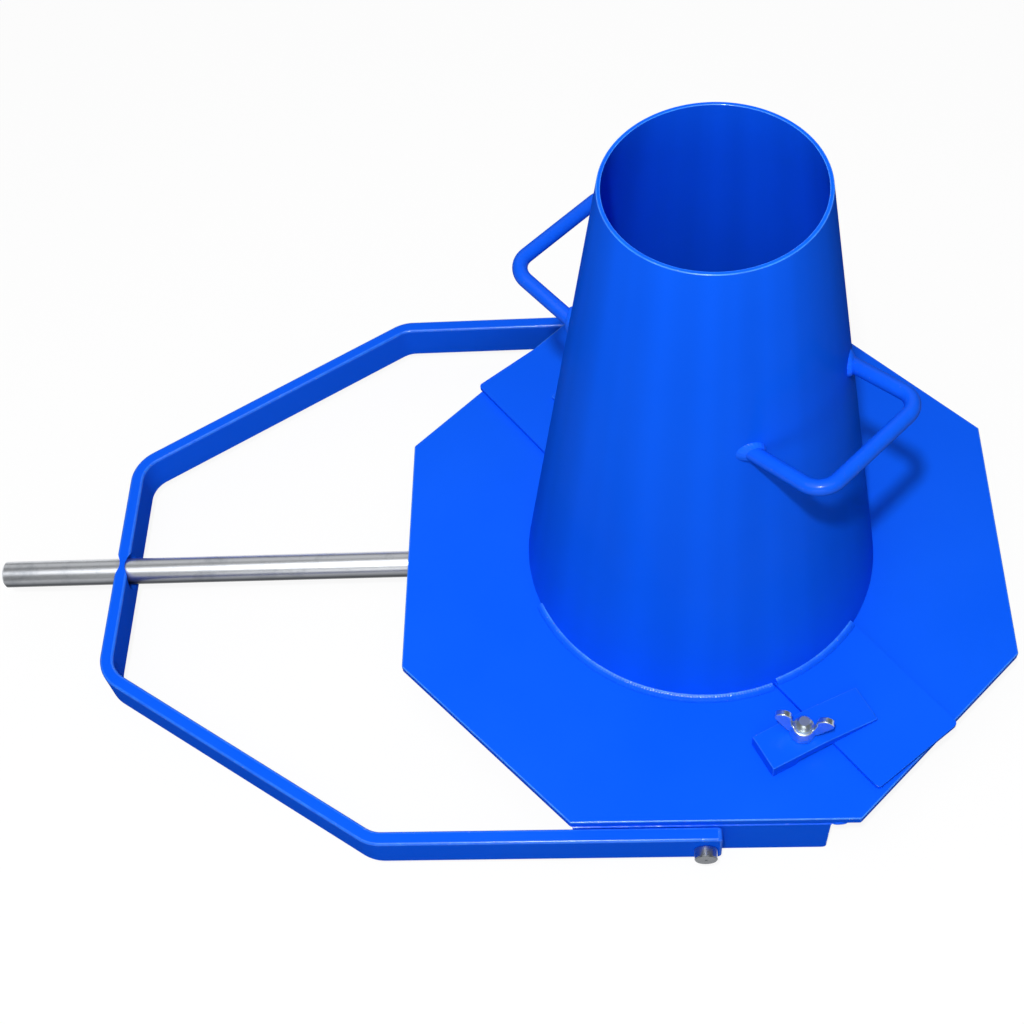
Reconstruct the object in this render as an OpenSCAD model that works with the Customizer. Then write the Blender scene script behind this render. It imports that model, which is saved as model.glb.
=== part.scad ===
// Slump cone set: a steel mould for testing wet concrete, clamped to an octagonal base plate,
// with a swing-over bail that carries the tamping rod.
// Lengths are in mm. The origin is on the mould's axis at the top face of the base plate.
// The rod runs along X and +Z is up.

/* [Base plate] */
// Width of the octagon across its front and rear edges
plate_across = 350; // [300:1:420]
// Length of the straight front, rear, left and right edges
plate_edge = 156; // [130:1:180]
// Thickness of the base plate
plate_t = 6; // [3:0.5:8]

/* [Support frame] */
// Reach of the two strips under the plate's edges to the left of the mould
strip_left = 77; // [50:0.5:77]
// Reach of the two strips to the right of the mould
strip_right = 62.5; // [50:0.5:77]
// Thickness of the two strips
strip_t = 5; // [4:0.5:8]
// Height of the strips and the cross bearers
frame_h = 35; // [28:0.5:40]
// Distance from the middle to the centre of each cross bearer
bearer_x = 30; // [20:1:34]
// Thickness of the cross bearers
bearer_t = 5; // [4:0.5:8]
// Leg of the fillet welds on the frame
frame_weld = 3; // [2:0.5:4]

/* [Tamping rod] */
// Diameter of the tamping rod
rod_d = 16; // [14:0.5:18]
// Overall length of the tamping rod
rod_len = 600; // [560:1:640]
// How far the stowed rod reaches right of the middle
rod_under = 170; // [150:1:190]
// Chamfer on the flat end of the rod
rod_chamfer = 1; // [0.5:0.5:2]
// Gap between the stowed rod and the plate above it
rod_plate_gap = 0.5; // [0.3:0.1:1.5]
// Radial gap of the rod in its holes
rod_gap = 0.4; // [0.3:0.1:0.8]

/* [Bail] */
// Gap between the edge of the plate and each bail arm
bail_side_gap = 1; // [0.6:0.1:2]
// Thickness of the bail's flat bar
bail_t = 8; // [6:0.5:10]
// Height of the bail's flat bar
bail_h = 25; // [22:0.5:30]
// Length from the pivots to the first bend of each arm
bail_arm = 184; // [182:1:200]
// Length from the pivots to the outer face of the cross bar
bail_reach = 352.64; // [345:0.01:380]
// Length of the cross bar between its outer bend corners
bail_nose = 152.96; // [120:0.01:180]
// Outer radius of the bends beside the plate
arm_bend = 24; // [16:0.1:30]
// Outer radius of the bends at the cross bar
nose_bend = 24.8; // [16:0.1:30]
// Length of each arm past its pivot
bail_tail = 9; // [8.5:0.5:12]
// Rounding of the corners at each arm's end
bail_end_r = 2.5; // [1:0.5:4]
// Bar left above the rod hole
bail_skin = 0.6; // [0.5:0.1:3]
// Countersink on both sides of the rod hole
bail_sink = 3; // [1:0.5:3.5]

/* [Pivot pins] */
// Left offset of the pivots from the middle
pivot_left = 5; // [0:0.5:12]
// Diameter of the pin shanks
pin_d = 10; // [8:0.5:12]
// Diameter of the pin heads
pin_head_d = 12.6; // [12.5:0.1:18]
// Length of the pin heads
pin_head_h = 6; // [3:0.5:8]
// Diameter of the riveted inner ends
pin_tail_d = 14; // [13:0.5:18]
// Thickness of the riveted inner ends
pin_tail_h = 2.5; // [1.5:0.5:4]
// Running gap of the pins in the bail
pin_gap = 0.08; // [0.03:0.01:0.1]
// Gap between each pin head and its arm
pin_side_gap = 0.3; // [0.1:0.1:0.8]

/* [Mould] */
// Inner diameter of the mould at the top
mould_top_d = 100; // [95:1:110]
// Inner diameter of the mould at the bottom
mould_base_d = 200; // [190:1:204]
// Height of the mould
mould_h = 300; // [280:1:305]
// Wall of the mould measured level
mould_wall = 2; // [1.5:0.1:3]
// Gap between the mould and the plate it stands on
seat_gap = 0.3; // [0.2:0.1:0.5]
// Width of the seam weld at the foot of the mould
seam_w = 4; // [3:0.5:6]
// Height of the seam weld over the wall
seam_h = 0.8; // [0.5:0.1:1.5]
// Direction of the seam around the mould
seam_angle = 80; // [72:1:88]

/* [Foot plates] */
// Width of each foot plate
foot_w = 60; // [56:1:62]
// Length from the mould's axis to the outer end of a foot plate
foot_reach = 179.5; // [170:0.5:184]
// Thickness of the foot plates
foot_t = 3; // [2:0.5:4]
// Rounding of the outer corners
foot_corner = 2.5; // [1.5:0.5:8]
// Direction of the front foot plate around the axis
foot_angle = -51.5; // [-54:0.5:-48]
// Width of the weld bead at the mould's foot
bead_w = 3.4; // [2.5:0.1:4.5]
// Direction where the front weld bead begins
bead_angle = -157; // [-165:1:-140]

/* [Handles] */
// Diameter of the handle rods
handle_d = 8; // [7:0.5:12]
// Distance between the two legs of a handle
handle_span = 72; // [60:1:84]
// Stand-off of the grip from the roots of the legs
handle_out = 43; // [38:1:60]
// Height of the handle roots
handle_z = 192; // [160:1:215]
// Bend radius at the middle of the rod
handle_bend = 11; // [8:0.5:16]
// Direction of the front handle around the axis
handle_angle = -45; // [-50:1:-40]
// Thickness of the weld collar on the wall
collar_t = 2.2; // [1.5:0.1:3]
// Width of the weld collar around a leg
collar_w = 2.4; // [1.5:0.1:3]

/* [Clamps] */
// Position of the front clamp's stud to the right of the axis
stud_x = 49.5; // [48:0.5:52]
// Position of the front clamp's stud in front of the axis
stud_y = -129; // [-132:0.5:-128]
// Diameter of the studs
stud_d = 8; // [6:0.5:8]
// Height of the studs above the plate
stud_top = 25; // [22:0.5:30]
// Size of the bolt heads across their flats
head_af = 13; // [11:0.5:14]
// Height of the bolt heads
head_h = 5.3; // [4:0.1:6]
// Length of a clamp strap
strap_len = 67; // [62:0.5:70]
// Width of a clamp strap
strap_w = 22; // [18:0.5:22.5]
// Thickness of a strap over its heel
strap_h = 10; // [8:0.5:11]
// Thickness of a strap at its tip
strap_tip = 2; // [1.5:0.1:3]
// Length from the heel end to the stud
strap_heel = 25; // [23:0.5:27]
// Length of the solid heel
heel_len = 15; // [12:0.5:16]
// Radial gap of the stud in the strap
strap_gap = 0.5; // [0.3:0.1:1]
// Direction of the front strap
strap_angle = 27.5; // [22:0.5:32]
// Extra turn of the rear strap
rear_turn = 14; // [-10:1:18]

/* [Wing nuts] */
// Diameter of the nut's hub
nut_d = 14; // [13:0.5:16]
// Height of the nut's hub
nut_h = 8.5; // [6:0.5:9]
// Distance from the stud to the middle of each ear
ear_x = 11.4; // [10:0.2:13]
// Height of the middle of each ear over the strap
ear_z = 16.2; // [13:0.2:17]
// Radius of the ears
ear_r = 4.5; // [4:0.1:5.5]
// Thickness of the ears
ear_t = 3.4; // [2:0.1:4]
// Direction of the ears against the strap
ear_turn = -40; // [-90:1:90]
// Gap between nut and stud, and between nut and strap
nut_gap = 0.1; // [0.05:0.01:0.2]

/* [Hidden] */
$fn = 96;
fit = 0.05;
half = plate_across / 2;
half_edge = plate_edge / 2;
weld_in = 0.02;

rod_r = rod_d / 2;
rod_z = -plate_t - rod_plate_gap - rod_r;
rod_hole_r = rod_r + rod_gap;
floor_z = -plate_t - frame_h;

bail_top = rod_z + rod_hole_r + bail_skin;
pivot_z = bail_top - bail_h / 2;
arm_in = half + bail_side_gap;
arm_out = arm_in + bail_t;
bend_x = -pivot_left - bail_arm;
nose_x = -pivot_left - bail_reach;
arm_turn = atan2(arm_out - bail_nose / 2, bend_x - nose_x);
arm_tan = arm_bend * tan(arm_turn / 2);
nose_tan = nose_bend * tan((90 - arm_turn) / 2);
slant_len = norm([bend_x - nose_x, arm_out - bail_nose / 2]) - arm_tan - nose_tan;

pin_r = pin_d / 2;
pin_in = half - strip_t - pin_tail_h;
pin_out = arm_out + pin_side_gap;

mould_r0 = mould_base_d / 2 + mould_wall;
mould_r1 = mould_top_d / 2 + mould_wall;
mould_z1 = seat_gap + mould_h;
mould_slope = (mould_r0 - mould_r1) / mould_h;
wall_lean = atan(mould_slope);
foot_top = seat_gap + foot_t;
foot_arc = asin((foot_w / 2) / (mould_r0 + bead_w));
foot_side = asin((foot_w / 2 + fit) / (mould_r0 - bead_w));

root_r = mould_r0 - mould_slope * (handle_z - seat_gap);
root_x = sqrt(root_r * root_r - handle_span * handle_span / 4);
handle_r = handle_d / 2;

stud_r = stud_d / 2;
strap_z0 = seat_gap;
strap_z1 = seat_gap + strap_h;
strap_over = foot_top + seat_gap;
nut_z = strap_z1 + nut_gap;
ear_x0 = nut_d / 2 - 2.2;

// A point of the wall's outside at a height over the plate
function wall_r(z) = mould_r0 - mould_slope * (z - seat_gap);

// Copies the front clamp's place to both ends of the mould
module at_stud(turn) {
    rotate([0, 0, turn])
        translate([stud_x, stud_y, 0])
            children();
}

// A round bar along Y
module along_y(y0, y1, r) {
    translate([0, y0, 0])
        rotate([-90, 0, 0])
            cylinder(h = y1 - y0, r = r);
}

// The mould as one solid, with its outer wall moved out or in
module mould_body(grow) {
    translate([0, 0, seat_gap])
        cylinder(h = mould_h, r1 = mould_r0 + grow, r2 = mould_r1 + grow);
}

module base_plate() {
    color("RoyalBlue")
        difference() {
            translate([0, 0, -plate_t])
                linear_extrude(height = plate_t)
                    polygon([[half, half_edge], [half_edge, half], [-half_edge, half],
                             [-half, half_edge], [-half, -half_edge], [-half_edge, -half],
                             [half_edge, -half], [half, -half_edge]]);
            for (turn = [0, 180])
                at_stud(turn)
                    translate([0, 0, -plate_t - 1])
                        cylinder(h = plate_t + 2, r = stud_r + fit);
        }
}

// One upright strip under a plate edge, with the hole for its pivot pin
module frame_strip(side) {
    y0 = side > 0 ? half - strip_t : -half;
    difference() {
        translate([-strip_left, y0, floor_z])
            cube([strip_left + strip_right, strip_t, frame_h]);
        translate([-pivot_left, y0, pivot_z])
            along_y(-1, strip_t + 1, pin_r + fit);
    }
}

module frame_strip_front() {
    color("RoyalBlue")
        frame_strip(-1);
}

module frame_strip_rear() {
    color("RoyalBlue")
        frame_strip(1);
}

// One upright bearer from the front strip to the rear strip, drilled for the rod
module bearer(x) {
    difference() {
        translate([x - bearer_t / 2, strip_t - half, floor_z])
            cube([bearer_t, 2 * (half - strip_t), frame_h]);
        translate([x - bearer_t / 2 - 1, 0, rod_z])
            rotate([0, 90, 0])
                cylinder(h = bearer_t + 2, r = rod_hole_r);
    }
}

module bearer_left() {
    color("RoyalBlue")
        bearer(-bearer_x);
}

module bearer_right() {
    color("RoyalBlue")
        bearer(bearer_x);
}

// A three-sided weld run along Y in the corner below the plate
module weld_run_y(x, side, len) {
    translate([x, len / 2, -plate_t])
        rotate([90, 0, 0])
            linear_extrude(height = len)
                polygon([[0, 0], [side * frame_weld, 0], [0, -frame_weld]]);
}

// A three-sided weld run along X in the corner below the plate
module weld_run_x(x0, x1, y, side) {
    translate([x0, y, -plate_t])
        rotate([90, 0, 90])
            linear_extrude(height = x1 - x0)
                polygon([[0, 0], [side * frame_weld, 0], [0, -frame_weld]]);
}

module frame_welds() {
    run = 2 * (half - strip_t - frame_weld);
    bearer_out = bearer_x + bearer_t / 2;
    color("RoyalBlue") {
        for (turn = [0, 180])
            rotate([0, 0, turn])
                difference() {
                    weld_run_y(bearer_out, 1, run);
                    translate([bearer_out, 0, rod_z])
                        rotate([0, 90, 0])
                            cylinder(h = 2 * frame_weld, r = rod_hole_r + rod_gap);
                }
        for (side = [-1, 1]) {
            weld_run_x(bearer_out, strip_right, side * (half - strip_t), -side);
            weld_run_x(-strip_left, -bearer_out, side * (half - strip_t), -side);
        }
    }
}

// A headed pin through one arm and one strip, riveted over inside
module pivot_pin(side) {
    translate([-pivot_left, 0, pivot_z])
        rotate([0, 0, side > 0 ? 0 : 180]) {
            along_y(pin_in, pin_out, pin_r);
            along_y(pin_in, pin_in + pin_tail_h, pin_tail_d / 2);
            along_y(pin_out, pin_out + pin_head_h, pin_head_d / 2);
        }
}

module pivot_pin_front() {
    color("Silver")
        pivot_pin(-1);
}

module pivot_pin_rear() {
    color("Silver")
        pivot_pin(1);
}

// A bolt from below that stands up through the plate
module clamp_stud() {
    translate([0, 0, -plate_t - head_h])
        cylinder(h = head_h, r = head_af / 2 / cos(30), $fn = 6);
    translate([0, 0, -plate_t])
        cylinder(h = plate_t + stud_top - 1, r = stud_r);
    translate([0, 0, stud_top - 1])
        cylinder(h = 1, r1 = stud_r, r2 = stud_r - 1);
}

module clamp_stud_front() {
    color("Silver")
        at_stud(0)
            clamp_stud();
}

module clamp_stud_rear() {
    color("Silver")
        at_stud(180)
            clamp_stud();
}

// A bend of the flat bar around its centre, as the part of a ring between two directions
module bar_bend(r, from, to) {
    translate([0, 0, bail_top - bail_h])
        intersection() {
            difference() {
                cylinder(h = bail_h, r = r);
                translate([0, 0, -1])
                    cylinder(h = bail_h + 2, r = r - bail_t);
            }
            rotate([0, 0, from])
                translate([0, 0, -1])
                    cube([r + 1, r + 1, bail_h + 2]);
            rotate([0, 0, to])
                translate([0, -r - 1, -1])
                    cube([r + 1, r + 1, bail_h + 2]);
        }
}

// The end of an arm around the pivot, with rounded corners
module arm_end() {
    x1 = bail_tail - pivot_left;
    z0 = bail_top - bail_h;
    translate([bend_x + arm_tan, -arm_out, z0])
        cube([x1 - bail_end_r - bend_x - arm_tan, bail_t, bail_h]);
    translate([x1 - bail_end_r, -arm_out, z0 + bail_end_r])
        cube([bail_end_r, bail_t, bail_h - 2 * bail_end_r]);
    for (z = [z0 + bail_end_r, bail_top - bail_end_r])
        translate([x1 - bail_end_r, 0, z])
            along_y(-arm_out, -arm_in, bail_end_r);
}

module bail_half() {
    arm_end();
    translate([bend_x + arm_tan, arm_bend - arm_out, 0])
        bar_bend(arm_bend, -90 - arm_turn, -90);
    translate([bend_x, -arm_out, bail_top - bail_h])
        rotate([0, 0, 180 - arm_turn])
            translate([arm_tan, -bail_t, 0])
                cube([slant_len, bail_t, bail_h]);
    translate([nose_x + nose_bend, nose_tan - bail_nose / 2, 0])
        bar_bend(nose_bend, 180, -90 - arm_turn);
    translate([nose_x, nose_tan - bail_nose / 2, bail_top - bail_h])
        cube([bail_t, bail_nose / 2 - nose_tan, bail_h]);
}

// The rod hole with its two countersinks, as one turned shape along the hole
module sunk_hole() {
    sink_r = rod_hole_r + bail_sink;
    translate([nose_x, 0, rod_z])
        rotate([0, 90, 0])
            rotate_extrude()
                polygon([[0, -1], [sink_r + 1, -1], [rod_hole_r, bail_sink],
                         [rod_hole_r, bail_t - bail_sink], [sink_r + 1, bail_t + 1],
                         [0, bail_t + 1]]);
}

module bail_bar() {
    color("RoyalBlue")
        difference() {
            union() {
                bail_half();
                mirror([0, 1, 0])
                    bail_half();
            }
            sunk_hole();
            translate([-pivot_left, 0, pivot_z])
                along_y(-arm_out - 1, arm_out + 1, pin_r + pin_gap);
        }
}

module tamping_rod() {
    x0 = rod_under - rod_len;
    color("Silver")
        translate([x0, 0, rod_z])
            rotate([0, 90, 0])
                rotate_extrude()
                    intersection() {
                        union() {
                            polygon([[0, 0], [rod_r - rod_chamfer, 0], [rod_r, rod_chamfer],
                                     [rod_r, rod_len - rod_r], [0, rod_len - rod_r]]);
                            translate([0, rod_len - rod_r])
                                circle(r = rod_r);
                        }
                        square([rod_r, rod_len]);
                    }
}

module mould_shell() {
    color("RoyalBlue")
        translate([0, 0, seat_gap])
            rotate_extrude()
                polygon([[mould_r0 - mould_wall, 0], [mould_r0, 0],
                         [mould_r1, mould_h], [mould_r1 - mould_wall, mould_h]]);
}

// The low weld where the rolled sheet meets itself, from above the foot weld to the rim
module mould_seam_weld() {
    z0 = seat_gap + 2 * bead_w;
    sweep = seam_w / mould_r0 * 180 / PI;
    color("RoyalBlue")
        rotate([0, 0, seam_angle - sweep / 2])
            rotate_extrude(angle = sweep)
                polygon([[wall_r(z0) + weld_in, z0], [wall_r(z0) + seam_h, z0],
                         [mould_r1 + seam_h, mould_z1], [mould_r1 + weld_in, mould_z1]]);
}

// A foot plate with its inner end cut to the mould
module foot_plate() {
    color("RoyalBlue")
        difference() {
            union() {
                translate([0, -foot_w / 2, seat_gap])
                    cube([foot_reach - foot_corner, foot_w, foot_t]);
                translate([foot_reach - foot_corner, foot_corner - foot_w / 2, seat_gap])
                    cube([foot_corner, foot_w - 2 * foot_corner, foot_t]);
                for (side = [-1, 1])
                    translate([foot_reach - foot_corner, side * (foot_w / 2 - foot_corner), seat_gap])
                        cylinder(h = foot_t, r = foot_corner);
            }
            translate([0, 0, seat_gap - 1])
                cylinder(h = foot_t + 2, r = mould_r0 + fit);
        }
}

module foot_plate_front() {
    rotate([0, 0, foot_angle])
        foot_plate();
}

module foot_plate_rear() {
    rotate([0, 0, foot_angle + 180])
        foot_plate();
}

// A weld bead against the mould, from one direction to another, on a given level
module wall_bead(from, sweep, z) {
    r0 = wall_r(z) + weld_in;
    r1 = wall_r(z + bead_w) + weld_in;
    rotate([0, 0, from])
        rotate_extrude(angle = sweep)
            polygon([[r0, z], [r0 + bead_w, z], [r0 + 0.9 * bead_w, z + 0.45 * bead_w],
                     [r0 + 0.5 * bead_w, z + 0.85 * bead_w], [r1, z + bead_w]]);
}

module foot_weld() {
    color("RoyalBlue") {
        wall_bead(bead_angle, foot_angle - foot_side - bead_angle, seat_gap);
        wall_bead(foot_angle - foot_arc, 2 * foot_arc, foot_top);
    }
}

module foot_weld_front() {
    foot_weld();
}

module foot_weld_rear() {
    rotate([0, 0, 180])
        foot_weld();
}

// Moves from the mould's axis to a handle's root line, with X square to the wall
module at_handle(turn) {
    rotate([0, 0, handle_angle + turn])
        translate([root_x, 0, handle_z])
            rotate([0, -wall_lean, 0])
                children();
}

// One leg and one bend of a handle
module handle_half() {
    translate([-handle_r - 4, handle_span / 2, 0])
        rotate([0, 90, 0])
            cylinder(h = handle_out - handle_bend + handle_r + 4, r = handle_r);
    translate([handle_out - handle_bend, handle_span / 2 - handle_bend, 0])
        rotate_extrude(angle = 90)
            translate([handle_bend, 0])
                circle(r = handle_r);
}

module handle(turn) {
    color("RoyalBlue")
        difference() {
            at_handle(turn) {
                handle_half();
                mirror([0, 1, 0])
                    handle_half();
                translate([handle_out, 0, 0])
                    along_y(handle_bend - handle_span / 2, handle_span / 2 - handle_bend, handle_r);
            }
            mould_body(fit);
        }
}

module handle_front() {
    handle(0);
}

module handle_rear() {
    handle(180);
}

// The weld collars around both legs of a handle, level with the wall
module handle_welds(turn) {
    color("RoyalBlue")
        intersection() {
            mould_body(collar_t);
            difference() {
                at_handle(turn)
                    for (side = [-1, 1])
                        translate([-2 * handle_r, side * handle_span / 2, 0])
                            rotate([0, 90, 0])
                                difference() {
                                    cylinder(h = 4 * handle_r, r = handle_r + collar_w);
                                    translate([0, 0, -1])
                                        cylinder(h = 4 * handle_r + 2, r = handle_r + weld_in);
                                }
                mould_body(weld_in);
            }
        }
}

module handle_welds_front() {
    handle_welds(0);
}

module handle_welds_rear() {
    handle_welds(180);
}

// A flat strap with a heel on the plate and a thin tip over the foot plate
module clamp_strap(extra) {
    flat_end = strap_heel + nut_d / 2 + 1;
    color("RoyalBlue")
        rotate([0, 0, strap_angle + extra])
            difference() {
                translate([-strap_heel, strap_w / 2, 0])
                    rotate([90, 0, 0])
                        linear_extrude(height = strap_w)
                            polygon([[0, strap_z0], [heel_len, strap_z0],
                                     [heel_len + 2, strap_over], [strap_len, strap_over],
                                     [strap_len, strap_over + strap_tip],
                                     [flat_end, strap_z1], [0, strap_z1]]);
                cylinder(h = strap_z1 + 1, r = stud_r + strap_gap);
            }
}

module clamp_strap_front() {
    at_stud(0)
        clamp_strap(0);
}

module clamp_strap_rear() {
    at_stud(180)
        clamp_strap(rear_turn);
}

// A wing nut with a turned hub and two flat ears
module wing_nut() {
    hub_r = nut_d / 2;
    bore_r = stud_r + nut_gap;
    color("Silver")
        translate([0, 0, nut_z])
            rotate([0, 0, strap_angle + ear_turn])
                difference() {
                    union() {
                        rotate_extrude()
                            polygon([[stud_r / 2, 0], [hub_r - 0.4, 0], [hub_r, 0.4], [hub_r, nut_h / 2],
                                     [hub_r - 1.1, nut_h], [stud_r / 2, nut_h]]);
                        for (turn = [0, 180])
                            rotate([0, 0, turn])
                                translate([0, ear_t / 2, 0])
                                    rotate([90, 0, 0]) {
                                        linear_extrude(height = ear_t)
                                            polygon([[ear_x0, 1], [ear_x - 2.5, 3.4],
                                                     [ear_x + 0.8 * ear_r, ear_z - 0.6 * ear_r],
                                                     [ear_x - 0.8 * ear_r, ear_z + 0.6 * ear_r],
                                                     [ear_x0, nut_h]]);
                                        translate([ear_x, ear_z, 0])
                                            cylinder(h = ear_t, r = ear_r);
                                    }
                    }
                    translate([0, 0, -1])
                        cylinder(h = nut_h + ear_z, r = bore_r);
                }
}

module wing_nut_front() {
    at_stud(0)
        wing_nut();
}

module wing_nut_rear() {
    at_stud(180)
        wing_nut();
}

base_plate();
frame_strip_front();
frame_strip_rear();
bearer_left();
bearer_right();
frame_welds();
pivot_pin_front();
pivot_pin_rear();
clamp_stud_front();
clamp_stud_rear();
bail_bar();
tamping_rod();
mould_shell();
mould_seam_weld();
foot_plate_front();
foot_plate_rear();
foot_weld_front();
foot_weld_rear();
handle_front();
handle_rear();
handle_welds_front();
handle_welds_rear();
clamp_strap_front();
clamp_strap_rear();
wing_nut_front();
wing_nut_rear();
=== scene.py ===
import math

import bmesh
import bpy
from mathutils import Matrix, Vector, noise


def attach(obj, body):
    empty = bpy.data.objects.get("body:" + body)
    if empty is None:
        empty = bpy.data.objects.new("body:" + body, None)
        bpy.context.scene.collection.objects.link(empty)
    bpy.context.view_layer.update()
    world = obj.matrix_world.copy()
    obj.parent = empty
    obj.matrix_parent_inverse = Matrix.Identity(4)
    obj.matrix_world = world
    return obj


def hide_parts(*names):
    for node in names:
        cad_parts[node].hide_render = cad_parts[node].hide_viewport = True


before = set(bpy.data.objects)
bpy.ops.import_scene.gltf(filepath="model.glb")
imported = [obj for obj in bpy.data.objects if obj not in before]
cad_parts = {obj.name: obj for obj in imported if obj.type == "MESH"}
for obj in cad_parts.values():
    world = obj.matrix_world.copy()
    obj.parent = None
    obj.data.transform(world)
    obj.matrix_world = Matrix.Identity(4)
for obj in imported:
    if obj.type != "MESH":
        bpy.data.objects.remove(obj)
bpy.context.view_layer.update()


# Base plate
# Mild steel plate, 6 mm thick, guillotined to an octagon and sprayed with blue gloss enamel.
# Its cut edges are broken with a file, so the enamel is thin along them.

PLATE_HALF = 0.175
PLATE_EDGE_HALF = 0.078
PLATE_THICKNESS = 0.006
PLATE_BROKEN_EDGE = 0.0007
PLATE_LOWER_WEAR = 0.3

TOUCHING = 1e-6
SHARP_CORNER = math.radians(35)
SHARP_SHADING = math.radians(40)


def linear(hex_colour):
    """Turns a colour as it is seen into the light values of the shader."""
    parts = [int(hex_colour[i:i + 2], 16) / 255 for i in (1, 3, 5)]
    return [c / 12.92 if c < 0.0405 else ((c + 0.055) / 1.055) ** 2.4 for c in parts] + [1.0]


def new_material(name):
    """A material with only its shader in it."""
    material = bpy.data.materials.new(name)
    material.use_nodes = True
    return material


def wire(material, node, values, links):
    """Sets the constant sockets of a node and joins the others to what feeds them."""
    for socket, value in (values or {}).items():
        node.inputs[socket].default_value = value
    for socket, (source, output) in (links or {}).items():
        material.node_tree.links.new(source.outputs[output], node.inputs[socket])


def add(material, kind, values=None, links=None, **settings):
    """Adds a node to a material, with its settings, its socket values and its links."""
    node = material.node_tree.nodes.new(kind)
    for name, setting in settings.items():
        setattr(node, name, setting)
    wire(material, node, values, links)
    return node


# Gloss enamel on steel: an even saturated blue with a faint orange peel of about 2 mm, slow
# waves where the sheet is not quite flat, a paler line on the edges, which is partly thin enamel
# and partly a painted highlight, and a few bright flecks where an edge has been knocked. Its
# clear top coat gives small sharp glints, most of all on the edges, which hands and gloves keep
# polished.
enamel = new_material("blue_gloss_enamel")
place = add(enamel, "ShaderNodeTexCoord")
# The worn mark of each face sets its top coat, its chipped flecks and its paler painted highlight.
wear_and_highlight = add(enamel, "ShaderNodeAttribute", attribute_name="wear_and_highlight")
cloud = add(enamel, "ShaderNodeTexNoise", {"Scale": 11.0, "Detail": 3.0, "Roughness": 0.5},
            {"Vector": (place, "Object")})
tone = add(enamel, "ShaderNodeMix", {6: linear("#0659F2"), 7: linear("#1062FA")},
           {0: (cloud, "Fac")}, data_type="RGBA")
paler_edge_spots = add(enamel, "ShaderNodeTexNoise", {"Scale": 160.0, "Detail": 2.0},
                 {"Vector": (place, "Object")})
paler_edge_mask = add(enamel, "ShaderNodeMath", None, {0: (paler_edge_spots, "Fac"), 1: (wear_and_highlight, "Fac")},
           operation="MULTIPLY")
# Paler blue on edges and bead crests: partly thin enamel, partly a painted highlight.
thin_enamel_and_painted_highlight = add(enamel, "ShaderNodeMix", {7: linear("#429CFF")}, {0: (paler_edge_mask, 0), 6: (tone, 2)},
                data_type="RGBA")
flecks = add(enamel, "ShaderNodeTexNoise", {"Scale": 620.0, "Detail": 3.0, "Roughness": 0.6},
             {"Vector": (place, "Object")})
fleck_mask = add(enamel, "ShaderNodeMapRange", {"From Min": 0.66, "From Max": 0.71},
                 {"Value": (flecks, "Fac")})
chipped = add(enamel, "ShaderNodeMath", None, {0: (fleck_mask, 0), 1: (wear_and_highlight, "Fac")},
              operation="MULTIPLY")
colour = add(enamel, "ShaderNodeMix", {7: linear("#B9CBE8")},
             {0: (chipped, 0), 6: (thin_enamel_and_painted_highlight, 2)}, data_type="RGBA")
sheen_spots = add(enamel, "ShaderNodeTexNoise", {"Scale": 45.0, "Detail": 2.0},
                  {"Vector": (place, "Object")})
gloss = add(enamel, "ShaderNodeMapRange", {"To Min": 0.17, "To Max": 0.25},
            {"Value": (sheen_spots, "Fac")})
waves = add(enamel, "ShaderNodeTexNoise", {"Scale": 8.0, "Detail": 1.0},
            {"Vector": (place, "Object")})
wavy = add(enamel, "ShaderNodeBump", {"Strength": 0.5, "Distance": 0.0012},
           {"Height": (waves, "Fac")})
peel = add(enamel, "ShaderNodeTexNoise", {"Scale": 480.0, "Detail": 1.0},
           {"Vector": (place, "Object")})
peeled = add(enamel, "ShaderNodeBump", {"Strength": 0.5, "Distance": 0.00002},
             {"Height": (peel, "Fac"), "Normal": (wavy, "Normal")})
rubbed = add(enamel, "ShaderNodeMapRange", {"To Min": 0.008, "To Max": 0.15},
             {"Value": (wear_and_highlight, "Fac")})
wire(enamel, enamel.node_tree.nodes["Principled BSDF"],
     {"Specular IOR Level": 0.0, "Coat IOR": 4.0, "Coat Roughness": 0.21},
     {"Base Color": (colour, 2), "Metallic": (chipped, 0), "Roughness": (gloss, 0),
      "Coat Weight": (rubbed, 0), "Normal": (peeled, "Normal"),
      "Coat Normal": (peeled, "Normal")})


def start():
    """A new mesh to work on, which remembers for each face how worn it is and how much painted
    highlight it gets.
    """
    bm = bmesh.new()
    bm.faces.layers.float.new("wear_and_highlight")
    return bm


def wear_off(bm, wear):
    """Gives every face the same wear, which also sets its painted highlight."""
    for face in bm.faces:
        face[bm.faces.layers.float["wear_and_highlight"]] = wear


def soften(bm, width, segments=3, edges=None, wear=1.0):
    """Rounds the sharp edges and marks how worn the strips that this makes are, which also sets
    their painted highlight.
    """
    layer = bm.faces.layers.float["wear_and_highlight"]
    sharp = [e for e in (edges or bm.edges) if e.is_manifold and e.calc_face_angle() > SHARP_CORNER]
    made = bmesh.ops.bevel(bm, geom=sharp, offset=width, offset_type="OFFSET", affect="EDGES",
                           segments=segments, profile=0.5, material=-1, clamp_overlap=True)
    for face in made["faces"]:
        face[layer] = wear


def thicken(bm, vec, faces=None):
    """Draws flat faces out into a solid."""
    grown = bmesh.ops.extrude_face_region(bm, geom=faces or bm.faces[:])["geom"]
    bmesh.ops.translate(bm, vec=vec, verts=[g for g in grown if isinstance(g, bmesh.types.BMVert)])


def shade(piece):
    """Shades a piece smoothly, but keeps its flat faces flat."""
    piece.data.shade_smooth()
    piece.data.set_sharp_from_angle(angle=SHARP_SHADING)
    piece.modifiers.new("even_shading", "WEIGHTED_NORMAL").keep_sharp = True


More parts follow.
